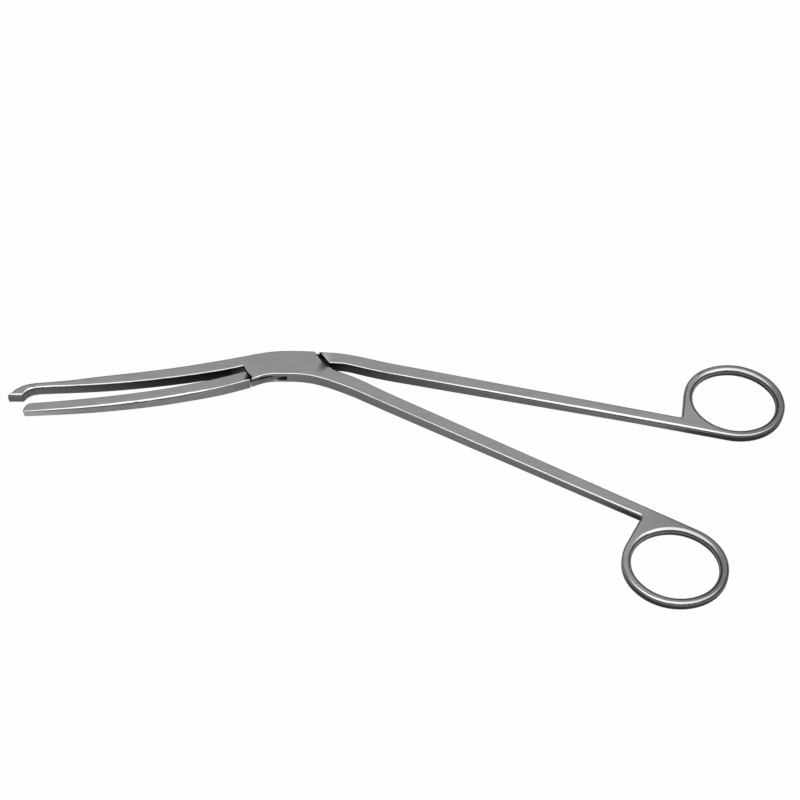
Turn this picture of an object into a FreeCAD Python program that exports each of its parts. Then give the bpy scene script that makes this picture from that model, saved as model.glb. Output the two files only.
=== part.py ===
import FreeCAD
import Part
import Sketcher
import math
import os

# Cheatle forceps, 10.5 inch pattern, lying flat and a little open.
# Two forged halves cross in a box lock and turn on one flush pivot pin.
# The origin is on the pivot axis in the plane that the forceps rest on,
# +X runs from the jaws towards the finger rings and +Z is up.

doc = FreeCAD.newDocument("cheatle_forceps")

# Driving dimensions, in millimetres and degrees
sheet = doc.addObject("Spreadsheet::Sheet", "Sizes")

SIZES = [
    ("box_thickness", 4.8, "thickness of the box lock"),
    ("hooked_tip_thickness", 4.4, "thickness at the hook"),
    ("plain_tip_thickness", 2.9, "thickness at the plain jaw's end"),
    ("ring_thickness", 3.8, "thickness of the finger rings"),
    ("flat_margin", 7.0, "how far the box lock's flat faces run on past its cheeks"),
    ("box_back", 5.6, "pivot to the outer side of the bend"),
    ("box_front", 4.9, "pivot to the inner side of the bend"),
    ("box_left", 12.4, "pivot to the front corner of the left cheek edge"),
    ("box_right", 9.3, "pivot to the back corner of the right cheek edge"),
    ("shoulder_gap", 0.55, "gap between a cheek edge and the shoulder beside it"),
    ("edge_round", 0.5, "rounding along the edges of both halves"),
    ("hole_round", 1.3, "rounding of the finger holes' edges"),
    ("hooked_jaw_reach", 86.0, "pivot to the start of the hook"),
    ("hooked_jaw_drop", 9.55, "how far the hooked jaw has curved at its hook"),
    ("hooked_root_slope", 14.5, "slope of the hooked jaw at the box"),
    ("hooked_tip_slope", 4.5, "slope of the hooked jaw at its hook"),
    ("hooked_root_width", 4.5, "width of the hooked jaw at the box"),
    ("hooked_middle_width", 4.3, "width of the hooked jaw halfway"),
    ("hooked_tip_width", 2.6, "width of the hooked jaw before its hook"),
    ("hook_length", 10.4, "how far the hook runs on past the jaw"),
    ("hook_drop", 3.2, "how far the hook reaches past the gripping side"),
    ("hook_width", 5.2, "width of the hook's blunt end"),
    ("plain_jaw_reach", 87.5, "pivot to the start of the plain jaw's round end"),
    ("plain_jaw_drop", 18.7, "how far the plain jaw has curved at its end"),
    ("plain_root_slope", 20.5, "slope of the plain jaw at the box"),
    ("plain_tip_slope", 3.5, "slope of the plain jaw at its end"),
    ("plain_root_width", 4.5, "width of the plain jaw at the box"),
    ("plain_middle_width", 4.4, "width of the plain jaw halfway"),
    ("plain_tip_width", 3.8, "width of the plain jaw at its end"),
    ("plain_tip_length", 3.3, "length of the plain jaw's round end"),
    ("box_handle_angle", -28.95, "direction of the box half's shank"),
    ("box_handle_offset", -5.56, "its inner edge, measured outwards from the pivot"),
    ("box_ring_distance", 152.3, "pivot to ring centre along that shank"),
    ("box_ring_turn", 16.0, "turn of that ring's long axis from the shank"),
    ("box_web_lean", 0.0, "lean of that ring's web towards the jaws"),
    ("through_handle_angle", -12.86, "direction of the through half's shank"),
    ("through_handle_offset", 3.3, "its inner edge, measured outwards from the pivot"),
    ("through_ring_distance", 154.1, "pivot to ring centre along that shank"),
    ("through_ring_turn", -2.0, "turn of that ring's long axis from the shank"),
    ("through_web_lean", 4.0, "lean of that ring's web towards the jaws"),
    ("shank_start", 38.0, "pivot to where a shank becomes straight"),
    ("shank_root_width", 4.7, "shank width at its start"),
    ("shank_ring_width", 4.3, "shank width at the ring"),
    ("finger_hole_length", 28.6, "long axis of a finger hole"),
    ("finger_hole_width", 25.2, "short axis of a finger hole"),
    ("finger_hole_end_share", 0.92, "radius of a finger hole's end arcs, by its half width"),
    ("ring_band", 3.1, "width of the metal around a finger hole"),
    ("web_corner_round", 0.8, "inside corner between a shank and its ring"),
    ("crotch_round", 4.0, "inside corner where the through half's shank leaves the box"),
    ("plain_corner_round", 0.9, "front corner of the plain jaw's round end"),
    ("hook_corner_round", 0.6, "inner corner of the hook's blunt end"),
    ("blank_round", 1.5, "corners of the box half before its right cheek end is milled"),
    ("tenon_thickness", 1.9, "thickness of the through half inside the box"),
    ("tenon_angle", 14.4, "direction of the tenon at rest"),
    ("tenon_back", 3.3, "pivot to the tenon's outer side"),
    ("tenon_front", 3.55, "pivot to the tenon's inner side"),
    ("slot_clearance", 0.05, "clearance above and below the tenon"),
    ("side_clearance", 0.2, "clearance beside the tenon at both limits"),
    ("closing_angle", 2.8, "turn from rest until the jaws meet"),
    ("opening_angle", 22.0, "turn from rest until the box stops the tenon"),
    ("pin_diameter", 3.5, "pivot pin"),
    ("pin_running_clearance", 0.05, "radial clearance of the pin in the tenon"),
]

for row, (alias, value, meaning) in enumerate(SIZES, start=1):
    sheet.set("A%d" % row, meaning)
    sheet.set("B%d" % row, str(value))
    sheet.setAlias("B%d" % row, alias)
doc.recompute()


def size(alias):
    return float(sheet.get(alias))


# Plan geometry helpers: every outline is drawn in the plan of the resting forceps

def at(x, y):
    return FreeCAD.Vector(x, y, 0)


def heading(degrees):
    return at(math.cos(math.radians(degrees)), math.sin(math.radians(degrees)))


def left_of(direction):
    return at(-direction.y, direction.x)


def turned(point, degrees):
    along = heading(degrees)
    return along * point.x + left_of(along) * point.y


def crossing(point_a, direction_a, point_b, direction_b):
    """Where two lines, each given by a point and a direction, cross."""
    normal_b = left_of(direction_b)
    run = (point_b - point_a).dot(normal_b) / direction_a.dot(normal_b)
    return point_a + direction_a * run


def line(start, end):
    return Part.LineSegment(start, end)


def curve(points, start_direction, end_direction):
    """Smooth curve through a few points, with set directions at its two ends."""
    spline = Part.BSplineCurve()
    spline.interpolate(Points=points, InitialTangent=start_direction, FinalTangent=end_direction)
    return spline


# Finger rings and shanks

class Oval:
    """Oval of four tangent arcs; places on it are named by the turn of their outward normal."""

    def __init__(self, centre, long_axis, long_reach, short_reach, end_radius):
        self.centre = centre
        self.long_axis = long_axis
        self.end_radius = end_radius
        self.end_offset = long_reach - end_radius
        span = self.end_offset ** 2 + short_reach ** 2 - end_radius ** 2
        self.side_radius = span / (2 * (short_reach - end_radius))
        self.side_offset = self.side_radius - short_reach
        self.join = math.degrees(math.atan2(self.side_offset, self.end_offset))

    def normal(self, turn):
        across = left_of(self.long_axis)
        return self.long_axis * math.cos(math.radians(turn)) + across * math.sin(math.radians(turn))

    def touch(self, turn):
        """Point of the oval whose outward normal has this turn from the long axis."""
        normal = self.normal(turn)
        along = normal.dot(self.long_axis)
        across = normal.dot(left_of(self.long_axis))
        if abs(along) >= math.cos(math.radians(self.join)):
            arc_centre = self.centre + self.long_axis * math.copysign(self.end_offset, along)
            return arc_centre + normal * self.end_radius
        arc_centre = self.centre - left_of(self.long_axis) * math.copysign(self.side_offset, across)
        return arc_centre + normal * self.side_radius

    def turn_of(self, direction):
        across = direction.dot(left_of(self.long_axis))
        return math.degrees(math.atan2(across, direction.dot(self.long_axis)))

    def arcs(self, start, end):
        """Arcs that run anticlockwise from one turn to another."""
        while end <= start:
            end += 360
        joins = [ring_end * 180 + sign * self.join for ring_end in range(-2, 5) for sign in (-1, 1)]
        stops = [start] + sorted(join for join in joins if start < join < end) + [end]
        return [
            Part.Arc(self.touch(first), self.touch((first + second) / 2), self.touch(second))
            for first, second in zip(stops, stops[1:])
        ]


class Handle:
    """Plan of one shank with its finger ring; 'outwards' is away from the other handle."""

    def __init__(self, half, outward_sign):
        self.along = heading(size(half + "_handle_angle"))
        self.outwards = left_of(self.along) * outward_sign
        self.offset = size(half + "_handle_offset")
        self.outward_sign = outward_sign
        lean = math.radians(size(half + "_web_lean"))
        self.web_normal = self.along * -math.cos(lean) - self.outwards * math.sin(lean)
        long_axis = heading(size(half + "_handle_angle") + size(half + "_ring_turn"))
        band = size("ring_band")
        self.hole_long = size("finger_hole_length") / 2
        self.hole_short = size("finger_hole_width") / 2
        end_radius = self.hole_short * size("finger_hole_end_share")
        rough = Oval(at(0, 0), long_axis, self.hole_long + band, self.hole_short + band, end_radius + band)
        half_width = rough.touch(rough.turn_of(self.outwards)).dot(self.outwards)
        self.centre = self.place(size(half + "_ring_distance"), self.offset + half_width)
        self.ring_reach = self.hole_long + band
        self.hole = Oval(self.centre, long_axis, self.hole_long, self.hole_short, end_radius)
        self.ring = Oval(
            self.centre, long_axis, self.ring_reach, self.hole_short + band, end_radius + band
        )

    def place(self, distance, outward):
        return self.along * distance + self.outwards * outward

    def finger_hole(self):
        return self.hole.arcs(self.hole.join, self.hole.join + 360)

    def outer_start(self):
        return self.place(size("shank_start"), self.offset + size("shank_root_width"))

    def inner_start(self):
        return self.place(size("shank_start"), self.offset)

    def outline(self):
        """Edges from the shank's outer start, round the ring, to its inner start."""
        web_turn = self.ring.turn_of(self.web_normal)
        inner_turn = self.ring.turn_of(self.outwards * -1)
        web_touch = self.ring.touch(web_turn)
        inner_touch = self.ring.touch(inner_turn)
        shank_end = self.place(0, self.offset + size("shank_ring_width"))
        self.web_corner = crossing(web_touch, left_of(self.web_normal), shank_end, self.along)
        if self.outward_sign > 0:
            arcs = self.ring.arcs(inner_turn, web_turn)
            arcs.reverse()
        else:
            arcs = self.ring.arcs(web_turn, inner_turn)
        edges = [line(self.outer_start(), self.web_corner), line(self.web_corner, web_touch)]
        return edges + arcs + [line(inner_touch, self.inner_start())]


# Jaws

class Jaw:
    """Plan of one curved jaw: a centre curve with a width that varies along it."""

    STATIONS = (0.0, 0.25, 0.5, 0.75, 1.0)

    def __init__(self, name, root):
        self.root = root
        self.tip = at(-size(name + "_jaw_reach"), -size(name + "_jaw_drop"))
        third = (self.tip - self.root).Length / 3
        self.root_direction = heading(180 + size(name + "_root_slope"))
        self.tip_direction = heading(180 + size(name + "_tip_slope"))
        self.poles = [
            self.root,
            self.root + self.root_direction * third,
            self.tip - self.tip_direction * third,
            self.tip,
        ]
        self.widths = [
            size(name + "_root_width"),
            size(name + "_middle_width"),
            size(name + "_tip_width"),
        ]

    def width(self, share):
        """Quadratic blend of the root, middle and tip widths."""
        root, middle, tip = self.widths
        return (
            root * (1 - share) * (1 - 2 * share)
            + middle * 4 * share * (1 - share)
            + tip * share * (2 * share - 1)
        )

    def side(self, sign):
        """Points of one side from root to tip; +1 is the side to the right of the run."""
        centre = Part.BezierCurve()
        centre.setPoles(self.poles)
        points = []
        for share in self.STATIONS:
            direction = centre.tangent(share)[0]
            points.append(centre.value(share) - left_of(direction) * (sign * self.width(share) / 2))
        return points


# Parts of the sketches and features

JOIN_TOLERANCE = 1e-6
CORNER_REACH = 0.3
RIM_REACH = 0.3
HOLE_REACH = 1.05
UPRIGHT_HEIGHT = 1.0
OVERSHOOT = 2.0


def origin_plane(body, role):
    for feature in body.Origin.OriginFeatures:
        if feature.Role == role:
            return feature
    raise ValueError(role)


def new_body(name):
    body = doc.addObject("PartDesign::Body", name)
    body.Label = name
    body.setExpression("Placement.Base.z", "Sizes.box_thickness / 2")
    return body


def new_sketch(body, name, edges, role="XY_Plane"):
    """Sketch of closed edges in drawing order, with their ends made coincident."""
    sketch = body.newObject("Sketcher::SketchObject", name)
    sketch.AttachmentSupport = [(origin_plane(body, role), "")]
    sketch.MapMode = "FlatFace"
    for edge in edges:
        sketch.addGeometry(edge, False)
    count = len(edges)
    for first in range(count if count > 1 else 0):
        second = (first + 1) % count
        for first_end in (1, 2):
            for second_end in (1, 2):
                gap = sketch.getPoint(first, first_end) - sketch.getPoint(second, second_end)
                if gap.Length < JOIN_TOLERANCE:
                    pair = (first, first_end, second, second_end)
                    sketch.addConstraint(Sketcher.Constraint("Coincident", *pair))
    return sketch


def new_circle_sketch(body, name, radius_expression):
    sketch = body.newObject("Sketcher::SketchObject", name)
    sketch.AttachmentSupport = [(origin_plane(body, "XY_Plane"), "")]
    sketch.MapMode = "FlatFace"
    sketch.addGeometry(Part.Circle(at(0, 0), FreeCAD.Vector(0, 0, 1), 1.0), False)
    sketch.addConstraint(Sketcher.Constraint("Coincident", 0, 3, -1, 1))
    sketch.addConstraint(Sketcher.Constraint("Radius", 0, 1.0))
    sketch.setExpression("Constraints[1]", radius_expression)
    return sketch


def pad(body, name, sketch, length_expression):
    feature = body.newObject("PartDesign::Pad", name)
    feature.Profile = sketch
    feature.SideType = "Symmetric"
    feature.setExpression("Length", length_expression)
    sketch.Visibility = False
    doc.recompute()


def pocket(body, name, sketch, length_expression):
    feature = body.newObject("PartDesign::Pocket", name)
    feature.Profile = sketch
    feature.SideType = "Symmetric"
    feature.setExpression("Length", length_expression)
    sketch.Visibility = False
    doc.recompute()


def fillet(body, name, base, edge_names, radius_expression):
    feature = body.newObject("PartDesign::Fillet", name)
    feature.Base = (base, edge_names)
    feature.setExpression("Radius", radius_expression)
    doc.recompute()


def upright_edges(shape, place):
    """Names of the upright edges at one place in plan."""
    names = []
    for number, edge in enumerate(shape.Edges, start=1):
        ends = [vertex.Point for vertex in edge.Vertexes]
        if len(ends) != 2 or abs(ends[0].z - ends[1].z) < UPRIGHT_HEIGHT:
            continue
        if (at(ends[0].x, ends[0].y) - place).Length < CORNER_REACH:
            names.append("Edge%d" % number)
    return names


def round_corners(body, base_name, corners):
    """Rounds upright corners, each given by its place in plan and the name of its size."""
    for number, (place, radius_name) in enumerate(corners, start=1):
        base = body.Tip
        corner = upright_edges(base.Shape, place)
        fillet(body, base_name + "Corner%d" % number, base, corner, "Sizes." + radius_name)


def rim_edges(shape, chosen):
    """Names of the edges round the two faces whose middle point is chosen by a test."""
    names = []
    for number, edge in enumerate(shape.Edges, start=1):
        ends = [vertex.Point for vertex in edge.Vertexes]
        if max(end.z for end in ends) > 0 > min(end.z for end in ends):
            continue
        middle = edge.valueAt((edge.FirstParameter + edge.LastParameter) / 2)
        is_crease = len(ends) == 2 and abs(ends[0].x - ends[1].x) < JOIN_TOLERANCE
        if not is_crease and chosen(at(middle.x, middle.y)):
            names.append("Edge%d" % number)
    return names


def on_segment(point, start, end):
    """Whether a place lies on the straight line between two others."""
    run = end - start
    share = max(0.0, min(1.0, (point - start).dot(run) / run.dot(run)))
    return (point - start - run * share).Length < RIM_REACH


def round_rims(body, base_name, handle, crisp_runs):
    """Rounds the finger hole's rims, then every outer rim but the crisp runs."""

    def in_hole(place):
        reach = place - handle.centre
        along = reach.dot(handle.hole.long_axis) / handle.hole_long
        across = reach.dot(left_of(handle.hole.long_axis)) / handle.hole_short
        return math.hypot(along, across) < HOLE_REACH

    def is_outer(place):
        return not in_hole(place) and not any(
            on_segment(place, start, end) for start, end in crisp_runs
        )

    base = body.Tip
    fillet(body, base_name + "HoleRims", base, rim_edges(base.Shape, in_hole), "Sizes.hole_round")
    base = body.Tip
    fillet(body, base_name + "Rims", base, rim_edges(base.Shape, is_outer), "Sizes.edge_round")


def bow(start_x, end_x, far_x, drop, level):
    """Three points of an arc that leaves a flat at start_x and has sunk by drop at end_x."""
    radius = (end_x - start_x) ** 2 / (2 * drop)
    points = []
    for share in (0.0, 0.5, 1.0):
        run = (far_x - start_x) * share
        points.append(at(start_x + run, level - radius + math.sqrt(radius * radius - run * run)))
    return points


def step(start_x, end_x, drop, level):
    """Five points of two tangent arcs from one flat down to another that lies lower by drop."""
    length = end_x - start_x
    swing = 2 * math.atan(drop / length)
    radius = length / (2 * math.sin(swing))
    run = radius * math.sin(swing / 2)
    sink = radius * (1 - math.cos(swing / 2))
    return [
        at(start_x, level),
        at(start_x + run, level - sink),
        at(start_x + length / 2, level - drop / 2),
        at(end_x - run, level - drop + sink),
        at(end_x, level - drop),
    ]


def thin_ends(body, base_name, tip_x, tip_thickness, handle):
    """Thins both faces smoothly, from the box lock to the jaw tip and to the flat ring."""
    level = size("box_thickness") / 2
    over = level + OVERSHOOT
    tip_drop = level - tip_thickness / 2
    ring_drop = level - size("ring_thickness") / 2
    ring_start = handle.centre.x - handle.ring_reach - 1
    jaw_start = -size("box_left") - size("flat_margin")
    shank_start = size("box_right") + size("flat_margin")
    jaw = bow(jaw_start, tip_x, tip_x - size("hook_length"), tip_drop, level)
    shank = step(shank_start, ring_start, ring_drop, level)
    ring_end = handle.centre + at(2 * handle.ring_reach, 0)
    ring_end.y = shank[4].y
    lid = [at(ring_end.x, over), at(jaw[2].x, over)]
    for side, sign in (("Top", 1), ("Underside", -1)):
        left, right, end, top = [
            [at(point.x, sign * point.y) for point in points] for points in (jaw, shank, [ring_end], lid)
        ]
        edges = [
            Part.Arc(left[2], left[1], left[0]),
            line(left[0], right[0]),
            Part.Arc(right[0], right[1], right[2]),
            Part.Arc(right[2], right[3], right[4]),
            line(right[4], end[0]),
            line(end[0], top[0]),
            line(top[0], top[1]),
            line(top[1], left[2]),
        ]
        sketch = new_sketch(body, base_name + side, edges, "XZ_Plane")
        pocket(body, base_name + side + "Cut", sketch, "Sizes.hooked_jaw_reach * 4")


# Places in the box lock that both halves share

CHEEK_LEFT_BACK = at(-size("box_left") - 2.9, -1.2)
CHEEK_LEFT_FRONT = at(-size("box_left"), -size("box_front") - 2.35)
CHEEK_RIGHT_BACK = at(size("box_right"), size("box_back") - 0.3)
CHEEK_RIGHT_MIDDLE = at(size("box_right") + 1.85, 1.5)
CHEEK_RIGHT_FRONT = at(size("box_right") + 4.0, -1.3)
left_edge_run = (CHEEK_LEFT_FRONT - CHEEK_LEFT_BACK).normalize()
left_edge_middle = (CHEEK_LEFT_BACK + CHEEK_LEFT_FRONT) * 0.5
left_shoulder = left_edge_middle - left_of(left_edge_run) * size("shoulder_gap")

# The tenon is the thin middle of the through half, seen in plan at rest
tenon_along = heading(size("tenon_angle"))
tenon_side = left_of(tenon_along)
TENON_BACK_LEFT = tenon_along * -4.0 + tenon_side * size("tenon_back")
TENON_FRONT_LEFT = tenon_along * -7.1 - tenon_side * size("tenon_front")
RIGHT_SHOULDER_FRONT = tenon_along * (size("box_right") + 5.0) - tenon_side * size("tenon_front")
RIGHT_SHOULDER_BACK = CHEEK_RIGHT_BACK + at(1.5, -0.1)
tenon_top = at(0, size("box_back") - 0.1)
TENON_BACK_RIGHT = crossing(tenon_side * size("tenon_back"), tenon_along, tenon_top, at(1, 0))


# Through half: plain jaw, tenon, and the handle that lies on the outer side of the bend

INNER_BEND = [(0.625, 0.53), (0.486, 0.66)]
OUTER_BEND = [(0.42, 0.36), (0.596, 0.56)]
CROTCH_HEADING = 170
OUTER_BEND_HEADING = -6
PLAIN_END_HEADING = 84

plain_jaw = Jaw("plain", left_shoulder + left_edge_run * 1.1)
through_handle = Handle("through", 1)


def round_end(side_end, direction):
    """Middle point of a jaw's round end, as on an ellipse that starts at one side."""
    eighth = math.radians(45)
    reach = size("plain_tip_length") * math.sin(eighth)
    drop = size("plain_tip_width") * (1 - math.cos(eighth))
    return side_end + direction * reach + left_of(direction) * drop


def bend_points(handle, bend, width):
    """Places beside a shank's start: each a share of its distance and a rise over its edge."""
    return [
        handle.place(share * size("shank_start"), handle.offset + width + rise) for share, rise in bend
    ]


def through_outline():
    handle = through_handle
    back = plain_jaw.side(1)
    front = plain_jaw.side(-1)
    tip_run = plain_jaw.tip_direction
    end = front[-1] + tip_run * size("plain_tip_length")
    plain_jaw.corner = end
    inner_bend = bend_points(handle, INNER_BEND, 0)
    outer_bend = bend_points(handle, OUTER_BEND, size("shank_root_width"))
    inner_side = [handle.inner_start()] + inner_bend + [RIGHT_SHOULDER_FRONT]
    round_side = [end, round_end(back[-1], tip_run), back[-1]]
    outer_side = [RIGHT_SHOULDER_BACK] + outer_bend + [handle.outer_start()]
    back.reverse()
    return handle.outline() + [
        curve(inner_side, handle.along * -1, heading(CROTCH_HEADING)),
        line(RIGHT_SHOULDER_FRONT, TENON_FRONT_LEFT),
        curve([TENON_FRONT_LEFT] + front, tenon_along * -1, tip_run),
        line(front[-1], end),
        curve(round_side, heading(PLAIN_END_HEADING), tip_run * -1),
        curve(back, tip_run * -1, plain_jaw.root_direction * -1),
        line(back[-1], TENON_BACK_LEFT),
        line(TENON_BACK_LEFT, TENON_BACK_RIGHT),
        line(TENON_BACK_RIGHT, RIGHT_SHOULDER_BACK),
        curve(outer_side, heading(OUTER_BEND_HEADING), handle.along),
    ]


through_half = new_body("through_half")
through_plan = new_sketch(through_half, "ThroughPlan", through_outline())
pad(through_half, "ThroughForging", through_plan, "Sizes.box_thickness")
through_hole = new_sketch(through_half, "ThroughFingerHole", through_handle.finger_hole())
pocket(through_half, "FingerHoleThrough", through_hole, "Sizes.box_thickness * 2")
plain_end_x = -size("plain_jaw_reach") - size("plain_tip_length")
thin_ends(through_half, "ThroughSide", plain_end_x, size("plain_tip_thickness"), through_handle)
through_corners = [
    (through_handle.web_corner, "web_corner_round"),
    (RIGHT_SHOULDER_FRONT, "crotch_round"),
    (plain_jaw.corner, "plain_corner_round"),
]
round_corners(through_half, "Through", through_corners)
round_rims(through_half, "Through", through_handle, [])

# Box half: hooked jaw, two cheeks, and the handle on the inner side of the bend

BLANK_RUN = heading(-28)
BLANK_BACK = CHEEK_RIGHT_BACK + at(2.9, -0.25)
BLANK_FRONT = CHEEK_RIGHT_FRONT + BLANK_RUN * 2.5
SHANK_BEND = [(0.576, -0.28)]
BACK_BEND = [(0.242, 0.05), (-0.403, -0.2)]
FRONT_BEND = [(-0.66, 0.55), (-0.16, -0.03), (0.355, 0.2), (0.944, 1.85), (1.758, 6.25)]
BACK_BEND_HEADING = 174
FRONT_BEND_HEADING = 24
GRIP_END_HEADING = 17
HOOK_BACK_HEADING = 237
HOOK_FRONT_HEADING = 62

hooked_jaw = Jaw("hooked", CHEEK_LEFT_BACK + at(1.0, 2.45))
box_handle = Handle("box", -1)


def box_outline():
    handle = box_handle
    tip_run = hooked_jaw.tip_direction
    back = hooked_jaw.side(1)
    front = hooked_jaw.side(-1)
    front[0] = CHEEK_LEFT_BACK
    hook_end = at(hooked_jaw.tip.x - size("hook_length"), front[-1].y - size("hook_drop"))
    hook_corner = hook_end + at(size("hook_width"), -0.1)
    hooked_jaw.corner = hook_corner
    hook_back = back[-1] + at(-0.55 * size("hook_length"), -0.43 * size("hook_drop"))
    hook_front = front[-1] + at(0.63 * (hook_corner.x - front[-1].x), -0.3 * size("hook_drop"))
    front.reverse()
    shank_side = [handle.inner_start()] + bend_points(handle, SHANK_BEND, 0) + [BLANK_FRONT]
    back_bend = [at(share * size("box_left"), size("box_back") + rise) for share, rise in BACK_BEND]
    front_bend = [at(share * size("box_left"), -size("box_front") - drop) for share, drop in FRONT_BEND]
    return handle.outline() + [
        curve(shank_side, handle.along * -1, BLANK_RUN * -1),
        line(BLANK_FRONT, BLANK_BACK),
        curve([BLANK_BACK] + back_bend + back, heading(BACK_BEND_HEADING), tip_run),
        curve([back[-1], hook_back, hook_end], tip_run, heading(HOOK_BACK_HEADING)),
        line(hook_end, hook_corner),
        curve([hook_corner, hook_front, front[0]], heading(HOOK_FRONT_HEADING), tip_run * -1),
        curve(front, tip_run * -1, heading(GRIP_END_HEADING)),
        line(CHEEK_LEFT_BACK, CHEEK_LEFT_FRONT),
        curve(
            [CHEEK_LEFT_FRONT] + front_bend + [handle.outer_start()],
            heading(FRONT_BEND_HEADING),
            handle.along,
        ),
    ]


box_half = new_body("box_half")
box_plan = new_sketch(box_half, "BoxPlan", box_outline())
pad(box_half, "BoxForging", box_plan, "Sizes.box_thickness")
box_hole = new_sketch(box_half, "BoxFingerHole", box_handle.finger_hole())
pocket(box_half, "FingerHoleBox", box_hole, "Sizes.box_thickness * 2")
hook_end_x = -size("hooked_jaw_reach") - size("hook_length")
thin_ends(box_half, "BoxSide", hook_end_x, size("hooked_tip_thickness"), box_handle)
box_corners = [
    (box_handle.web_corner, "web_corner_round"),
    (hooked_jaw.corner, "hook_corner_round"),
    (BLANK_BACK, "blank_round"),
    (BLANK_FRONT, "blank_round"),
]
round_corners(box_half, "Box", box_corners)
round_rims(box_half, "Box", box_handle, [(CHEEK_LEFT_BACK, CHEEK_LEFT_FRONT)])

# The right ends of the cheeks are milled to a hollow arc
over_back = size("box_back") + OVERSHOOT
over_front = BLANK_FRONT + BLANK_RUN * OVERSHOOT
cheek_end_corners = [
    CHEEK_RIGHT_BACK,
    at(CHEEK_RIGHT_BACK.x, over_back),
    at(over_front.x, over_back),
    over_front,
    CHEEK_RIGHT_FRONT,
]
cheek_end_edges = [line(a, b) for a, b in zip(cheek_end_corners, cheek_end_corners[1:])]
cheek_end_edges.append(Part.Arc(CHEEK_RIGHT_FRONT, CHEEK_RIGHT_MIDDLE, CHEEK_RIGHT_BACK))
cheek_end_plan = new_sketch(box_half, "CheekEndPlan", cheek_end_edges)
pocket(box_half, "CheekEnds", cheek_end_plan, "Sizes.box_thickness * 2")

# Slot in the box half: the space that the tenon sweeps between its two limits
REACH = 30.0
back_left_run = (TENON_BACK_LEFT - plain_jaw.side(1)[0]).normalize()


def wall(point, along, turn, outward_sign):
    """A tenon side turned to one limit and moved outwards by the side clearance."""
    direction = turned(along, turn)
    place = turned(point, turn) + left_of(direction) * (outward_sign * size("side_clearance"))
    return place, direction


front_closed = wall(tenon_side * -size("tenon_front"), tenon_along, -size("closing_angle"), -1)
front_open = wall(tenon_side * -size("tenon_front"), tenon_along, size("opening_angle"), -1)
back_open = wall(tenon_side * size("tenon_back"), tenon_along, size("opening_angle"), 1)
back_closed = wall(TENON_BACK_LEFT, back_left_run, -size("closing_angle"), 1)
front_apex = crossing(*front_closed, *front_open)
back_apex = crossing(*back_closed, *back_open)
slot_corners = [
    front_apex,
    front_apex + front_closed[1] * REACH,
    back_apex + back_open[1] * REACH,
    back_apex,
    back_apex - back_closed[1] * REACH,
    front_apex - front_open[1] * REACH,
]
slot_edges = [line(a, b) for a, b in zip(slot_corners, slot_corners[1:] + slot_corners[:1])]
slot_plan = new_sketch(box_half, "SlotPlan", slot_edges)
pocket(box_half, "Slot", slot_plan, "Sizes.tenon_thickness + 2 * Sizes.slot_clearance")
cheek_bore = new_circle_sketch(box_half, "CheekBorePlan", "Sizes.pin_diameter / 2")
pocket(box_half, "CheekBores", cheek_bore, "Sizes.box_thickness * 2")

# Tenon: both faces of the through half are cut back between its two shoulders
LEFT_OVERSHOOT = 12.0
RIGHT_OVERSHOOT = 6.0
right_edge_run = (RIGHT_SHOULDER_FRONT - RIGHT_SHOULDER_BACK).normalize()
tenon_corners = [
    left_shoulder - left_edge_run * LEFT_OVERSHOOT,
    left_shoulder + left_edge_run * LEFT_OVERSHOOT,
    RIGHT_SHOULDER_FRONT + right_edge_run * RIGHT_OVERSHOOT,
    RIGHT_SHOULDER_BACK - right_edge_run * RIGHT_OVERSHOOT,
]
for side, sign in (("Top", 1), ("Underside", -1)):
    edges = [line(a, b) for a, b in zip(tenon_corners, tenon_corners[1:] + tenon_corners[:1])]
    plan = new_sketch(through_half, "Tenon" + side, edges)
    plan.setExpression("AttachmentOffset.Base.z", "%d * Sizes.tenon_thickness / 2" % sign)
    cut = through_half.newObject("PartDesign::Pocket", "Tenon" + side + "Cut")
    cut.Profile = plan
    cut.Reversed = sign > 0
    cut.setExpression("Length", "Sizes.box_thickness")
    plan.Visibility = False
    doc.recompute()
tenon_bore = new_circle_sketch(
    through_half, "TenonBorePlan", "Sizes.pin_diameter / 2 + Sizes.pin_running_clearance"
)
pocket(through_half, "TenonBore", tenon_bore, "Sizes.box_thickness * 2")

# Pivot pin, ground flush with both cheeks
pivot_pin = new_body("pivot_pin")
pin_plan = new_circle_sketch(pivot_pin, "PinPlan", "Sizes.pin_diameter / 2")
pad(pivot_pin, "Pin", pin_plan, "Sizes.box_thickness")
doc.recompute()

for item in doc.Objects:
    for flag in ("Invalid", "Error"):
        if flag in item.State:
            raise RuntimeError("%s did not build: %s" % (item.Name, item.getStatusString()))

subparts = (box_half, through_half, pivot_pin)
for body in subparts:
    if body.Shape.isNull() or not body.Shape.isValid() or len(body.Shape.Solids) != 1:
        raise RuntimeError("%s has no single valid solid" % body.Label)

os.makedirs("parts", exist_ok=True)
for body in subparts:
    body.Shape.exportStep("parts/%s.step" % body.Label)
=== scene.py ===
# %% [markdown]
# Cheatle forceps are long two-armed tongs for lifting sterile things.
# The solids carry every real shape: two forged halves and one pin.
# Here each half gets its softened rims, its polish and the studio around it.

# %% Load the solids
import math

import bmesh
import bpy
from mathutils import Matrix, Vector, kdtree


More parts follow.
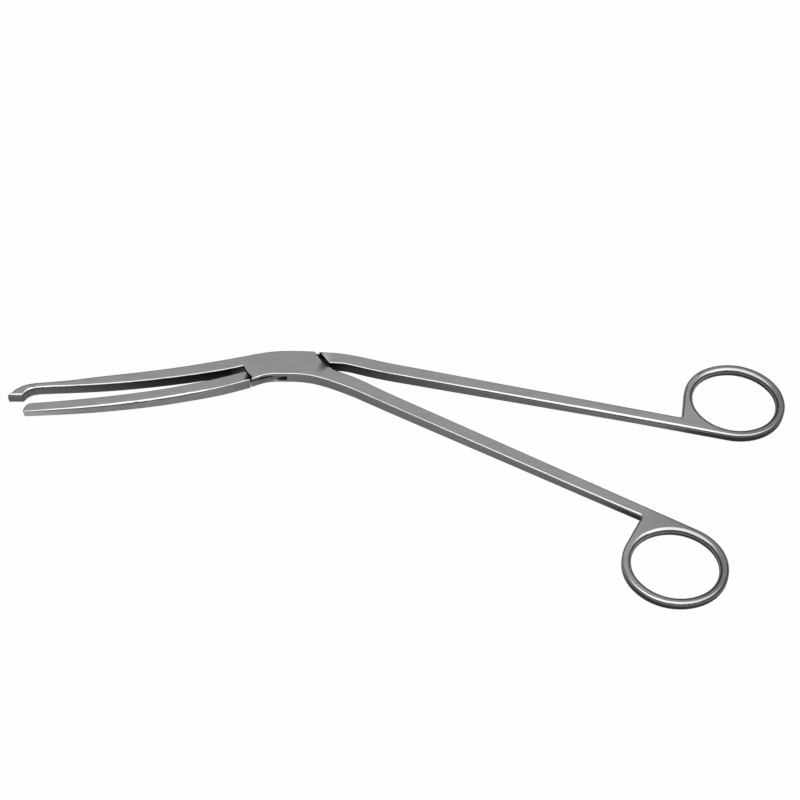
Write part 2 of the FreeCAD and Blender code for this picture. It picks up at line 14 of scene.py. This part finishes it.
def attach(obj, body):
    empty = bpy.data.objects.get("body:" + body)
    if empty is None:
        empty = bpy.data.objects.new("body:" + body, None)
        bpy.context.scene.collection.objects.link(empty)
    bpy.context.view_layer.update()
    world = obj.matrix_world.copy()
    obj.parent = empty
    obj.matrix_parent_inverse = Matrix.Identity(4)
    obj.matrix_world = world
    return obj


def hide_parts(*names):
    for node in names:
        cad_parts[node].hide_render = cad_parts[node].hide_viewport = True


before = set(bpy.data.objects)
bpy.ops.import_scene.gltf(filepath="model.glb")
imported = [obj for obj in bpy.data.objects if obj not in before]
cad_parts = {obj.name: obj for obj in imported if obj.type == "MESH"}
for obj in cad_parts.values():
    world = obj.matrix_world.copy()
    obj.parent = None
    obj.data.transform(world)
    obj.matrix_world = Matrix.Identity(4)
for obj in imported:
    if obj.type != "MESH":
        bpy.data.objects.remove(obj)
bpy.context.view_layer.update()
MM = 0.001

# %% [markdown]
# A solid arrives as loose triangles, so light breaks at each of them.
# Merging a copy joins the corners again, so the long rims can be rolled over
# as one smooth skin. Normals could also be smoothed on the loose triangles,
# but then no corner would know its neighbours, and no rim could be moved.

# %% Copy a solid as one joined skin
MERGE_DISTANCE = 0.002 * MM


def joined_copy(node, name):
    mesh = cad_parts[node].data.copy()
    mesh.name = name
    skin = bmesh.new()
    skin.from_mesh(mesh)
    bmesh.ops.remove_doubles(skin, verts=skin.verts, dist=MERGE_DISTANCE)
    bmesh.ops.recalc_face_normals(skin, faces=skin.faces)
    print(name, "joined:", len(skin.verts), "corners,", len(skin.faces), "faces")
    return mesh, skin


# %% [markdown]
# The forging's rims are not all rolled over by the same amount: a polisher
# leans on the outside of a jaw and hardly touches its gripping side.
# The solids have one small rounding for all rims. Here each corner of that
# rounding slides inwards and down until its radius matches a short table.
# A bevel could not do this, because the rounding is already there.

# %% Level of a half's upper face along the forceps
MID_LEVEL = 2.4
BOX_HALF_THICKNESS = 2.4
RING_HALF_THICKNESS = 1.9
JAW_BOW_START = -19.4
SHANK_STEP_START = 16.3
JAW_BOW = {"box_half": (-96.4, 2.2), "through_half": (-90.8, 1.45)}
RING_CENTRE = {"box_half": Vector((128.3, -82.7)), "through_half": Vector((154.46, -15.77))}
RING_REACH = 17.4
HOLE_REACH = 14.7


def half_thickness(node, x):
    """Half of the thickness at x: flat at the box lock and the ring, bowed between them."""
    jaw_end, jaw_half = JAW_BOW[node]
    if x < JAW_BOW_START:
        radius = (jaw_end - JAW_BOW_START) ** 2 / (2 * (BOX_HALF_THICKNESS - jaw_half))
        run = x - JAW_BOW_START
        return BOX_HALF_THICKNESS - radius + math.sqrt(radius * radius - run * run)
    step_end = RING_CENTRE[node].x - RING_REACH - 1
    drop = BOX_HALF_THICKNESS - RING_HALF_THICKNESS
    length = step_end - SHANK_STEP_START
    share = max(0.0, min(1.0, (x - SHANK_STEP_START) / length))
    eased = 2 * share * share if share < 0.5 else 1 - 2 * (1 - share) ** 2
    return BOX_HALF_THICKNESS - drop * eased


for node in JAW_BOW:
    print(node, "is", round(2 * half_thickness(node, JAW_BOW[node][0]), 2), "mm thick at the jaw's tip")

# %% Radius that each rim is asked to have along the forceps
# Beside the box lock no corner moves, whatever is asked: the rims there stay as the solid has them.
SOLID_RIM = 0.5
SOLID_HOLE_RIM = 1.3
HOLE_RIM = 1.7
RIMS = {
    "box_half": {
        "near": [(-93, 1.0), (-86, 0.9), (-76, 0.7), (-40, 0.55), (-11.5, 0.5), (-6, 1.5), (-2, 1.8),
                 (4, 1.6), (12, 1.0), (30, 0.5), (100, 0.6), (118, 0.9), (128, 1.3)],
        "far": [(-93, 1.0), (-86, 0.9), (-60, 0.7), (20, 0.5), (100, 0.6), (128, 1.1)],
    },
    "through_half": {
        "near": [(-91, 0.4), (-79, 0.7), (-56, 1.2), (-34, 1.2), (-23, 0.5), (14, 0.45), (30, 0.5), (60, 0.8),
                 (120, 1.4), (140, 1.1), (160, 0.9)],
        "far": [(-91, 0.5), (-60, 0.5), (40, 0.5), (125, 0.7), (145, 1.2)],
    },
}
CHEEK_LIMIT = 1.2
CHEEK_SPAN = (-13.5, 16.0)
WALL_LEFT = 0.15


def table_value(stations, x):
    """Straight-line reading of a table of (x, value) pairs."""
    if x <= stations[0][0]:
        return stations[0][1]
    for (x0, v0), (x1, v1) in zip(stations, stations[1:]):
        if x <= x1:
            return v0 + (v1 - v0) * (x - x0) / (x1 - x0)
    return stations[-1][1]


for node, rims in RIMS.items():
    asked = max(radius for rim in rims.values() for _, radius in rim)
    print(node, "is asked for rims of up to", asked, "mm")

# %% Find where the walls end and the roundings start
BOWED_WALL_TILT = 0.03
WALL_TILT = 0.004
DEPTH_TOLERANCE = 0.06
FIT_TOLERANCE = 0.12
NEIGHBOURS = 24
UPRIGHT_EDGE = MERGE_DISTANCE  # compared with a length in mm, so 0.000002 mm


def is_wall(face):
    """The bowed jaws' walls lean a little where the triangles follow the bow."""
    bowed = face.calc_center_median().x < JAW_BOW_START * MM
    return abs(face.normal.z) < (BOWED_WALL_TILT if bowed else WALL_TILT)


def wall_normal(vertex):
    walls = [face.normal.xy for face in vertex.link_faces if is_wall(face)]
    return sum(walls, Vector((0, 0))).normalized()


def rim_starts(skin, node, side):
    """The lines where walls end and roundings start, each with its ends' outward normals."""
    found = []
    for edge in skin.edges:
        walls = [is_wall(face) for face in edge.link_faces]
        if walls.count(True) != 1:
            continue
        start, end = [vertex.co / MM for vertex in edge.verts]
        middle = (start + end) / 2
        in_hole = (middle.xy - RING_CENTRE[node]).length < HOLE_REACH
        solid = SOLID_HOLE_RIM if in_hole else SOLID_RIM
        depth = half_thickness(node, middle.x) - side * (middle.z - MID_LEVEL)
        if abs(depth - solid) < DEPTH_TOLERANCE and (end - start).xy.length > UPRIGHT_EDGE:
            found.append((start.xy, end.xy, wall_normal(edge.verts[0]), wall_normal(edge.verts[1]), solid))
    return found


def nearest_start(starts, tree, place):
    """Distance to the nearest such line, its outward normal and its solid's radius there."""
    best = (math.inf, None, None)
    for _, index, _ in tree.find_n((place.x, place.y, 0), NEIGHBOURS):
        start, end, out_start, out_end, solid = starts[index]
        run = end - start
        share = max(0.0, min(1.0, (place - start).dot(run) / run.dot(run)))
        distance = (start + run * share - place).length
        if distance < best[0]:
            best = (distance, out_start.lerp(out_end, share).normalized(), solid)
    return best


# %% Roll the rims of one skin
def roll_rims(skin, node):
    moves = []
    for side in (1, -1):
        starts = rim_starts(skin, node, side)
        tree = kdtree.KDTree(len(starts))
        for index, (start, end, _, _, _) in enumerate(starts):
            tree.insert(((start.x + end.x) / 2, (start.y + end.y) / 2, 0), index)
        tree.balance()
        for vertex in skin.verts:
            place = vertex.co / MM
            depth = half_thickness(node, place.x) - side * (place.z - MID_LEVEL)
            if depth > SOLID_HOLE_RIM + DEPTH_TOLERANCE:
                continue
            distance, outward, solid = nearest_start(starts, tree, place.xy)
            if depth > solid + DEPTH_TOLERANCE:
                continue
            rise = max(0.0, min(1.0, 1 - depth / solid))
            inward = 1 - math.sqrt(max(0.0, 1 - rise * rise))
            if abs(distance - solid * inward) > FIT_TOLERANCE:
                continue
            if solid == SOLID_HOLE_RIM:
                radius = HOLE_RIM
            else:
                radius = table_value(RIMS[node]["near" if outward.y < 0 else "far"], place.x)
            limit = half_thickness(node, place.x) - WALL_LEFT
            if node == "box_half" and CHEEK_SPAN[0] < place.x < CHEEK_SPAN[1]:
                limit = CHEEK_LIMIT
            drop = min(radius, limit)
            plan = place.xy - outward * ((radius - solid) * inward)
            height = place.z - side * (drop - solid) * (1 - rise)
            moves.append((vertex, Vector((plan.x, plan.y, height)) * MM))
    furthest = max((place - vertex.co).length for vertex, place in moves)
    for vertex, place in moves:
        vertex.co = place
    print("rolled", len(moves), "corners of", node, "by up to", round(furthest / MM, 2), "mm")


# %% [markdown]
# A dressed piece stands for its solid: it hides the solid and rides on the same
# body. Weighted normals let the broad flat faces stay flat, while the narrow
# roundings between them shade smoothly.

# %% Dress the three pieces
PIN_FLAT_ANGLE = math.radians(0.6)
SHARP_ANGLE = math.radians(35)


def dressed(node, name, body):
    mesh, skin = joined_copy(node, name)
    if node in RIMS:
        roll_rims(skin, node)
    else:
        bmesh.ops.dissolve_limit(
            skin, angle_limit=PIN_FLAT_ANGLE, verts=skin.verts, edges=skin.edges
        )
    for face in skin.faces:
        face.smooth = True
    skin.to_mesh(mesh)
    skin.free()
    piece = bpy.data.objects.new(name, mesh)
    bpy.context.scene.collection.objects.link(piece)
    mesh.materials.clear()
    normals = piece.modifiers.new("even light", "WEIGHTED_NORMAL")
    normals.mode = "FACE_AREA"
    normals.weight = 100
    normals.keep_sharp = True
    mesh.set_sharp_from_angle(angle=SHARP_ANGLE)
    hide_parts(node)
    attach(piece, body)
    print(name, "dressed:", len(mesh.polygons), "faces")
    return piece


box_piece = dressed("box_half", "box_half_forging", "box_side")
through_piece = dressed("through_half", "through_half_forging", "through_side")
pin_piece = dressed("pivot_pin", "pivot_pin_end", "box_side")


# %% [markdown]
# Stainless steel has no colour of its own: what shows is the studio in its
# satin polish. Fine brushing runs along the length of the forceps. Near the
# box lock, a band at mid-thickness and the end walls that face along the
# forceps are painted nearly black: painted shade of the slot and of the gaps
# between the halves. Along the length, the faces and walls also get painted
# reflections and painted shade.
# One plain grey could be used for all of it, and would be truer under other
# light. Here the tones of the faces and of the walls are set along the
# length, because that comes nearer to the photograph.

# %% Helpers for materials
def new_material(name):
    material = bpy.data.materials.new(name)
    material.use_nodes = True
    material.node_tree.nodes.clear()
    return material


def math_node(tree, operation, first, second=None):
    node = tree.nodes.new("ShaderNodeMath")
    node.operation = operation
    for socket, value in zip(node.inputs, (first, second)):
        if isinstance(value, bpy.types.NodeSocket):
            tree.links.new(value, socket)
        elif value is not None:
            socket.default_value = value
    return node.outputs[0]


def span(tree, value, low, high):
    """0 below low and 1 above high, with a smooth change between."""
    node = tree.nodes.new("ShaderNodeMapRange")
    node.interpolation_type = "SMOOTHSTEP"
    node.inputs["From Min"].default_value = low
    node.inputs["From Max"].default_value = high
    tree.links.new(value, node.inputs["Value"])
    return node.outputs["Result"]


def ramp(tree, value, stops):
    node = tree.nodes.new("ShaderNodeValToRGB")
    tree.links.new(value, node.inputs["Fac"])
    while len(node.color_ramp.elements) < len(stops):
        node.color_ramp.elements.new(0.5)
    for element, (position, tone) in zip(node.color_ramp.elements, stops):
        element.position = position
        element.color = (tone, tone, tone, 1)
    return node.outputs["Color"]


# %% Brushed grain, shared by all the steel
STREAK_SCALE = (120, 2600, 2600)
STREAK_DETAIL = 4.0
STREAK_SHARE = 0.35
CLOUD_SCALE = 160.0
CLOUD_DETAIL = 3.0
CLOUD_SHARE = 0.2
MEAN_ROUGHNESS = 0.22
ROUGHNESS_SHARE = 0.25
BUMP_STRENGTH = 0.12
BUMP_DEPTH = 0.02 * MM


def grain_group():
    group = bpy.data.node_groups.new("brushed grain", "ShaderNodeTree")
    group.interface.new_socket("Tone", in_out="OUTPUT", socket_type="NodeSocketFloat")
    group.interface.new_socket("Roughness", in_out="OUTPUT", socket_type="NodeSocketFloat")
    group.interface.new_socket("Normal", in_out="OUTPUT", socket_type="NodeSocketVector")
    output = group.nodes.new("NodeGroupOutput")
    place = group.nodes.new("ShaderNodeTexCoord")
    stretch = group.nodes.new("ShaderNodeMapping")
    stretch.inputs["Scale"].default_value = STREAK_SCALE
    group.links.new(place.outputs["Object"], stretch.inputs["Vector"])
    streaks = group.nodes.new("ShaderNodeTexNoise")
    streaks.inputs["Scale"].default_value = 1.0
    streaks.inputs["Detail"].default_value = STREAK_DETAIL
    group.links.new(stretch.outputs["Vector"], streaks.inputs["Vector"])
    clouds = group.nodes.new("ShaderNodeTexNoise")
    clouds.inputs["Scale"].default_value = CLOUD_SCALE
    clouds.inputs["Detail"].default_value = CLOUD_DETAIL
    group.links.new(place.outputs["Object"], clouds.inputs["Vector"])
    fine, broad = [
        math_node(group, "MULTIPLY", math_node(group, "SUBTRACT", noise.outputs["Fac"], 0.5), share)
        for noise, share in ((streaks, STREAK_SHARE), (clouds, CLOUD_SHARE))
    ]
    both = math_node(group, "ADD", fine, broad)
    group.links.new(math_node(group, "ADD", both, 1.0), output.inputs["Tone"])
    change = math_node(group, "MULTIPLY", both, ROUGHNESS_SHARE)
    rough = math_node(group, "ADD", change, MEAN_ROUGHNESS)
    group.links.new(rough, output.inputs["Roughness"])
    bump = group.nodes.new("ShaderNodeBump")
    bump.inputs["Strength"].default_value = BUMP_STRENGTH
    bump.inputs["Distance"].default_value = BUMP_DEPTH
    group.links.new(streaks.outputs["Fac"], bump.inputs["Height"])
    group.links.new(bump.outputs["Normal"], output.inputs["Normal"])
    return group


grain = grain_group()
print("grain gives", [socket.name for socket in grain.interface.items_tree])

# %% Steel of one piece: faces and walls with painted reflections and painted shade along the length, and painted shade at the box lock
PLAN_SPAN = (-0.1, 0.175)
WALL_TO_FACE = (0.05, 0.35)
SLOT_HALF = (1.0 * MM, 1.02 * MM)
LOCK_REACH = (15.5 * MM, 16.0 * MM)
END_WALL = (0.45, 0.6)
OUTER_WALL = (0.6, 0.8)


def steel(name, painted_flat_shading, painted_wall_shading, lock_shade_tone):
    material = new_material(name)
    tree = material.node_tree
    output = tree.nodes.new("ShaderNodeOutputMaterial")
    shader = tree.nodes.new("ShaderNodeBsdfPrincipled")
    shader.inputs["Metallic"].default_value = 1.0
    place = tree.nodes.new("ShaderNodeTexCoord")
    where = tree.nodes.new("ShaderNodeSeparateXYZ")
    tree.links.new(place.outputs["Object"], where.inputs[0])
    geometry = tree.nodes.new("ShaderNodeNewGeometry")
    facing = tree.nodes.new("ShaderNodeSeparateXYZ")
    tree.links.new(geometry.outputs["Normal"], facing.inputs[0])
    # Painted shade and painted reflections: faces and walls each get tones set along the length, and the
    # walls mostly come out darker than the faces
    upright = math_node(tree, "ABSOLUTE", facing.outputs["Z"])
    flatness = span(tree, upright, *WALL_TO_FACE)
    along = tree.nodes.new("ShaderNodeMapRange")
    along.inputs["From Min"].default_value = PLAN_SPAN[0]
    along.inputs["From Max"].default_value = PLAN_SPAN[1]
    tree.links.new(where.outputs["X"], along.inputs["Value"])
    low, high = PLAN_SPAN[0] / MM, PLAN_SPAN[1] / MM
    flat, wall = [
        ramp(tree, along.outputs["Result"], [((x - low) / (high - low), tone) for x, tone in stops])
        for stops in (painted_flat_shading, painted_wall_shading)
    ]
    tone = tree.nodes.new("ShaderNodeMix")
    tone.data_type = "RGBA"
    tree.links.new(flat, tone.inputs["B"])
    tree.links.new(wall, tone.inputs["A"])
    tree.links.new(flatness, tone.inputs["Factor"])
    detail = tree.nodes.new("ShaderNodeGroup")
    detail.node_tree = grain
    grained = tree.nodes.new("ShaderNodeMix")
    grained.data_type = "RGBA"
    grained.blend_type = "MULTIPLY"
    grained.inputs["Factor"].default_value = 1.0
    tree.links.new(tone.outputs["Result"], grained.inputs["A"])
    tree.links.new(detail.outputs["Tone"], grained.inputs["B"])
    # Painted shade: near the box lock, a band at mid-thickness on faces that don't face the front, and every
    # end wall that faces along the forceps, take the lock shade tone
    height = math_node(tree, "SUBTRACT", where.outputs["Z"], MID_LEVEL * MM)
    level = math_node(tree, "ABSOLUTE", height)
    inside = math_node(tree, "SUBTRACT", 1.0, span(tree, level, *SLOT_HALF))
    reach = math_node(tree, "ABSOLUTE", where.outputs["X"])
    near_lock = math_node(tree, "SUBTRACT", 1.0, span(tree, reach, *LOCK_REACH))
    sideways = span(tree, math_node(tree, "ABSOLUTE", facing.outputs["X"]), *END_WALL)
    towards_front = math_node(tree, "MULTIPLY", facing.outputs["Y"], -1.0)
    outside = span(tree, towards_front, *OUTER_WALL)
    hidden = math_node(tree, "MULTIPLY", inside, math_node(tree, "SUBTRACT", 1.0, outside))
    painted_lock_shade = math_node(tree, "MULTIPLY", near_lock, math_node(tree, "MAXIMUM", hidden, sideways))
    lock_shaded = tree.nodes.new("ShaderNodeMix")
    lock_shaded.data_type = "RGBA"
    lock_shaded.inputs["B"].default_value = (lock_shade_tone, lock_shade_tone, lock_shade_tone, 1)
    tree.links.new(grained.outputs["Result"], lock_shaded.inputs["A"])
    tree.links.new(painted_lock_shade, lock_shaded.inputs["Factor"])
    tree.links.new(lock_shaded.outputs["Result"], shader.inputs["Base Color"])
    tree.links.new(detail.outputs["Roughness"], shader.inputs["Roughness"])
    tree.links.new(detail.outputs["Normal"], shader.inputs["Normal"])
    tree.links.new(shader.outputs[0], output.inputs[0])
    return material


# %% Painted reflections and painted shade of the faces and of the walls, each as (x in mm, tone)
FLAT_TONE = 0.6
# Nearly black painted shade for the slot of the box lock and the gaps beside it
LOCK_SHADE_TONE = 0.03
BOX_PAINTED_FLAT_SHADING = [(116, FLAT_TONE), (134, 0.42), (146, 0.36)]
BOX_PAINTED_WALL_SHADING = [
    (-96, 0.3), (-84, 0.3), (-62, 0.16), (-45, 0.07), (-20, 0.03), (-13, 0.5),
    (12, 0.35), (60, 0.42), (104, 0.3), (114, 0.08), (146, 0.05),
]
THROUGH_PAINTED_FLAT_SHADING = [(142, FLAT_TONE), (158, 0.42), (172, 0.36)]
THROUGH_PAINTED_WALL_SHADING = [
    (-91, 0.9), (-70, 0.55), (-20, 0.5), (13, 0.04), (30, 0.14),
    (60, 0.3), (128, 0.35), (140, 0.1), (172, 0.05),
]
PIN_PAINTED_FLAT_SHADING = [(-10, FLAT_TONE), (10, FLAT_TONE)]
PIN_PAINTED_WALL_SHADING = [(-10, 0.3), (10, 0.3)]
for piece, name, flats, walls, lock_shade_tone in (
    (box_piece, "satin steel of the box half", BOX_PAINTED_FLAT_SHADING, BOX_PAINTED_WALL_SHADING, LOCK_SHADE_TONE),
    (through_piece, "satin steel of the through half", THROUGH_PAINTED_FLAT_SHADING, THROUGH_PAINTED_WALL_SHADING, LOCK_SHADE_TONE),
    (pin_piece, "ground steel of the pin", PIN_PAINTED_FLAT_SHADING, PIN_PAINTED_WALL_SHADING, FLAT_TONE),
):
    piece.data.materials.append(steel(name, flats, walls, lock_shade_tone))
    print(piece.name, "wears", piece.data.materials[0].name)

# %% [markdown]
# Product photographs of steel are taken on a sheet of white paper. The paper
# here is matt grey for the light and for reflections, and only the camera is
# shown it as nearly white. More light would give white too, but it would burn
# out the steel.

# %% Floor
FLOOR_SIZE = 30
FLOOR_LEVEL = -0.02 * MM
FLOOR_TONE = 0.45
WHITE_SHARE = 0.985
floor_mesh = bpy.data.meshes.new("floor")
sheet = bmesh.new()
bmesh.ops.create_grid(sheet, x_segments=1, y_segments=1, size=FLOOR_SIZE)
sheet.to_mesh(floor_mesh)
sheet.free()
floor = bpy.data.objects.new("floor", floor_mesh)
floor.location.z = FLOOR_LEVEL
bpy.context.scene.collection.objects.link(floor)

paper = new_material("white paper")
nodes = paper.node_tree.nodes
links = paper.node_tree.links
output = nodes.new("ShaderNodeOutputMaterial")
matt = nodes.new("ShaderNodeBsdfDiffuse")
matt.inputs["Color"].default_value = (FLOOR_TONE, FLOOR_TONE, FLOOR_TONE, 1)
glow = nodes.new("ShaderNodeEmission")
glow.inputs["Strength"].default_value = 1.0
light_path = nodes.new("ShaderNodeLightPath")
seen = math_node(paper.node_tree, "MULTIPLY", light_path.outputs["Is Camera Ray"], WHITE_SHARE)
blend = nodes.new("ShaderNodeMixShader")
links.new(seen, blend.inputs["Fac"])
links.new(matt.outputs[0], blend.inputs[1])
links.new(glow.outputs[0], blend.inputs[2])
links.new(blend.outputs[0], output.inputs[0])
floor_mesh.materials.append(paper)
print("floor at", floor.location.z, "m, shown to the camera as", WHITE_SHARE, "white")

# %% [markdown]
# One large softbox stands in front and above, where it makes the white lines
# along the near rims. The room darkens towards the horizon, and steel that
# faces sideways shows that dark. A second lamp would fill the walls with light
# and lose the dark lines that tell them from the faces.

# %% Room
HORIZON = (0.3, 0.02)
OVERHEAD = (0.7, 0.47)
world = bpy.data.worlds.new("studio")
bpy.context.scene.world = world
world.use_nodes = True
nodes = world.node_tree.nodes
links = world.node_tree.links
nodes.clear()
output = nodes.new("ShaderNodeOutputWorld")
sky = nodes.new("ShaderNodeBackground")
place = nodes.new("ShaderNodeTexCoord")
split = nodes.new("ShaderNodeSeparateXYZ")
links.new(place.outputs["Generated"], split.inputs[0])
links.new(ramp(world.node_tree, split.outputs["Z"], (HORIZON, OVERHEAD)), sky.inputs["Color"])
links.new(sky.outputs[0], output.inputs[0])
print("room tones, from the horizon up:", HORIZON[1], OVERHEAD[1])

# %% Softbox
SOFTBOX_SIZE = (3.4, 2.2)
SOFTBOX_POWER = 34.0
SOFTBOX_PLACE = (0.04, -0.85, 1.8)
softbox_data = bpy.data.lights.new("softbox", "AREA")
softbox_data.shape = "RECTANGLE"
softbox_data.size, softbox_data.size_y = SOFTBOX_SIZE
softbox_data.energy = SOFTBOX_POWER
softbox = bpy.data.objects.new("softbox", softbox_data)
softbox.location = SOFTBOX_PLACE
bpy.context.scene.collection.objects.link(softbox)
print("softbox of", SOFTBOX_POWER, "W at", SOFTBOX_PLACE)

# %% [markdown]
# The camera looks down on the forceps as the photograph does. Its angle was
# found from the two rings, which are ovals lying flat. Its distance sets the
# perspective: the nearer the camera, the larger the front ring looks.

# %% Camera
ELEVATION = math.radians(52.3)
DISTANCE = 0.667
TARGET = Vector((0.03913, -0.01269, 0.0))
SENSOR_WIDTH = 36.0
VIEW_WIDTH = 0.278
looking = Vector((0.0, math.cos(ELEVATION), -math.sin(ELEVATION)))
camera_data = bpy.data.cameras.new("camera")
camera_data.lens = SENSOR_WIDTH * DISTANCE / VIEW_WIDTH
camera = bpy.data.objects.new("camera", camera_data)
camera.location = TARGET - looking * DISTANCE
camera.rotation_euler = (math.radians(90) - ELEVATION, 0, 0)
bpy.context.scene.collection.objects.link(camera)
bpy.context.scene.camera = camera
bpy.context.scene.view_settings.view_transform = "Standard"
print("camera at", tuple(round(value, 4) for value in camera.location))
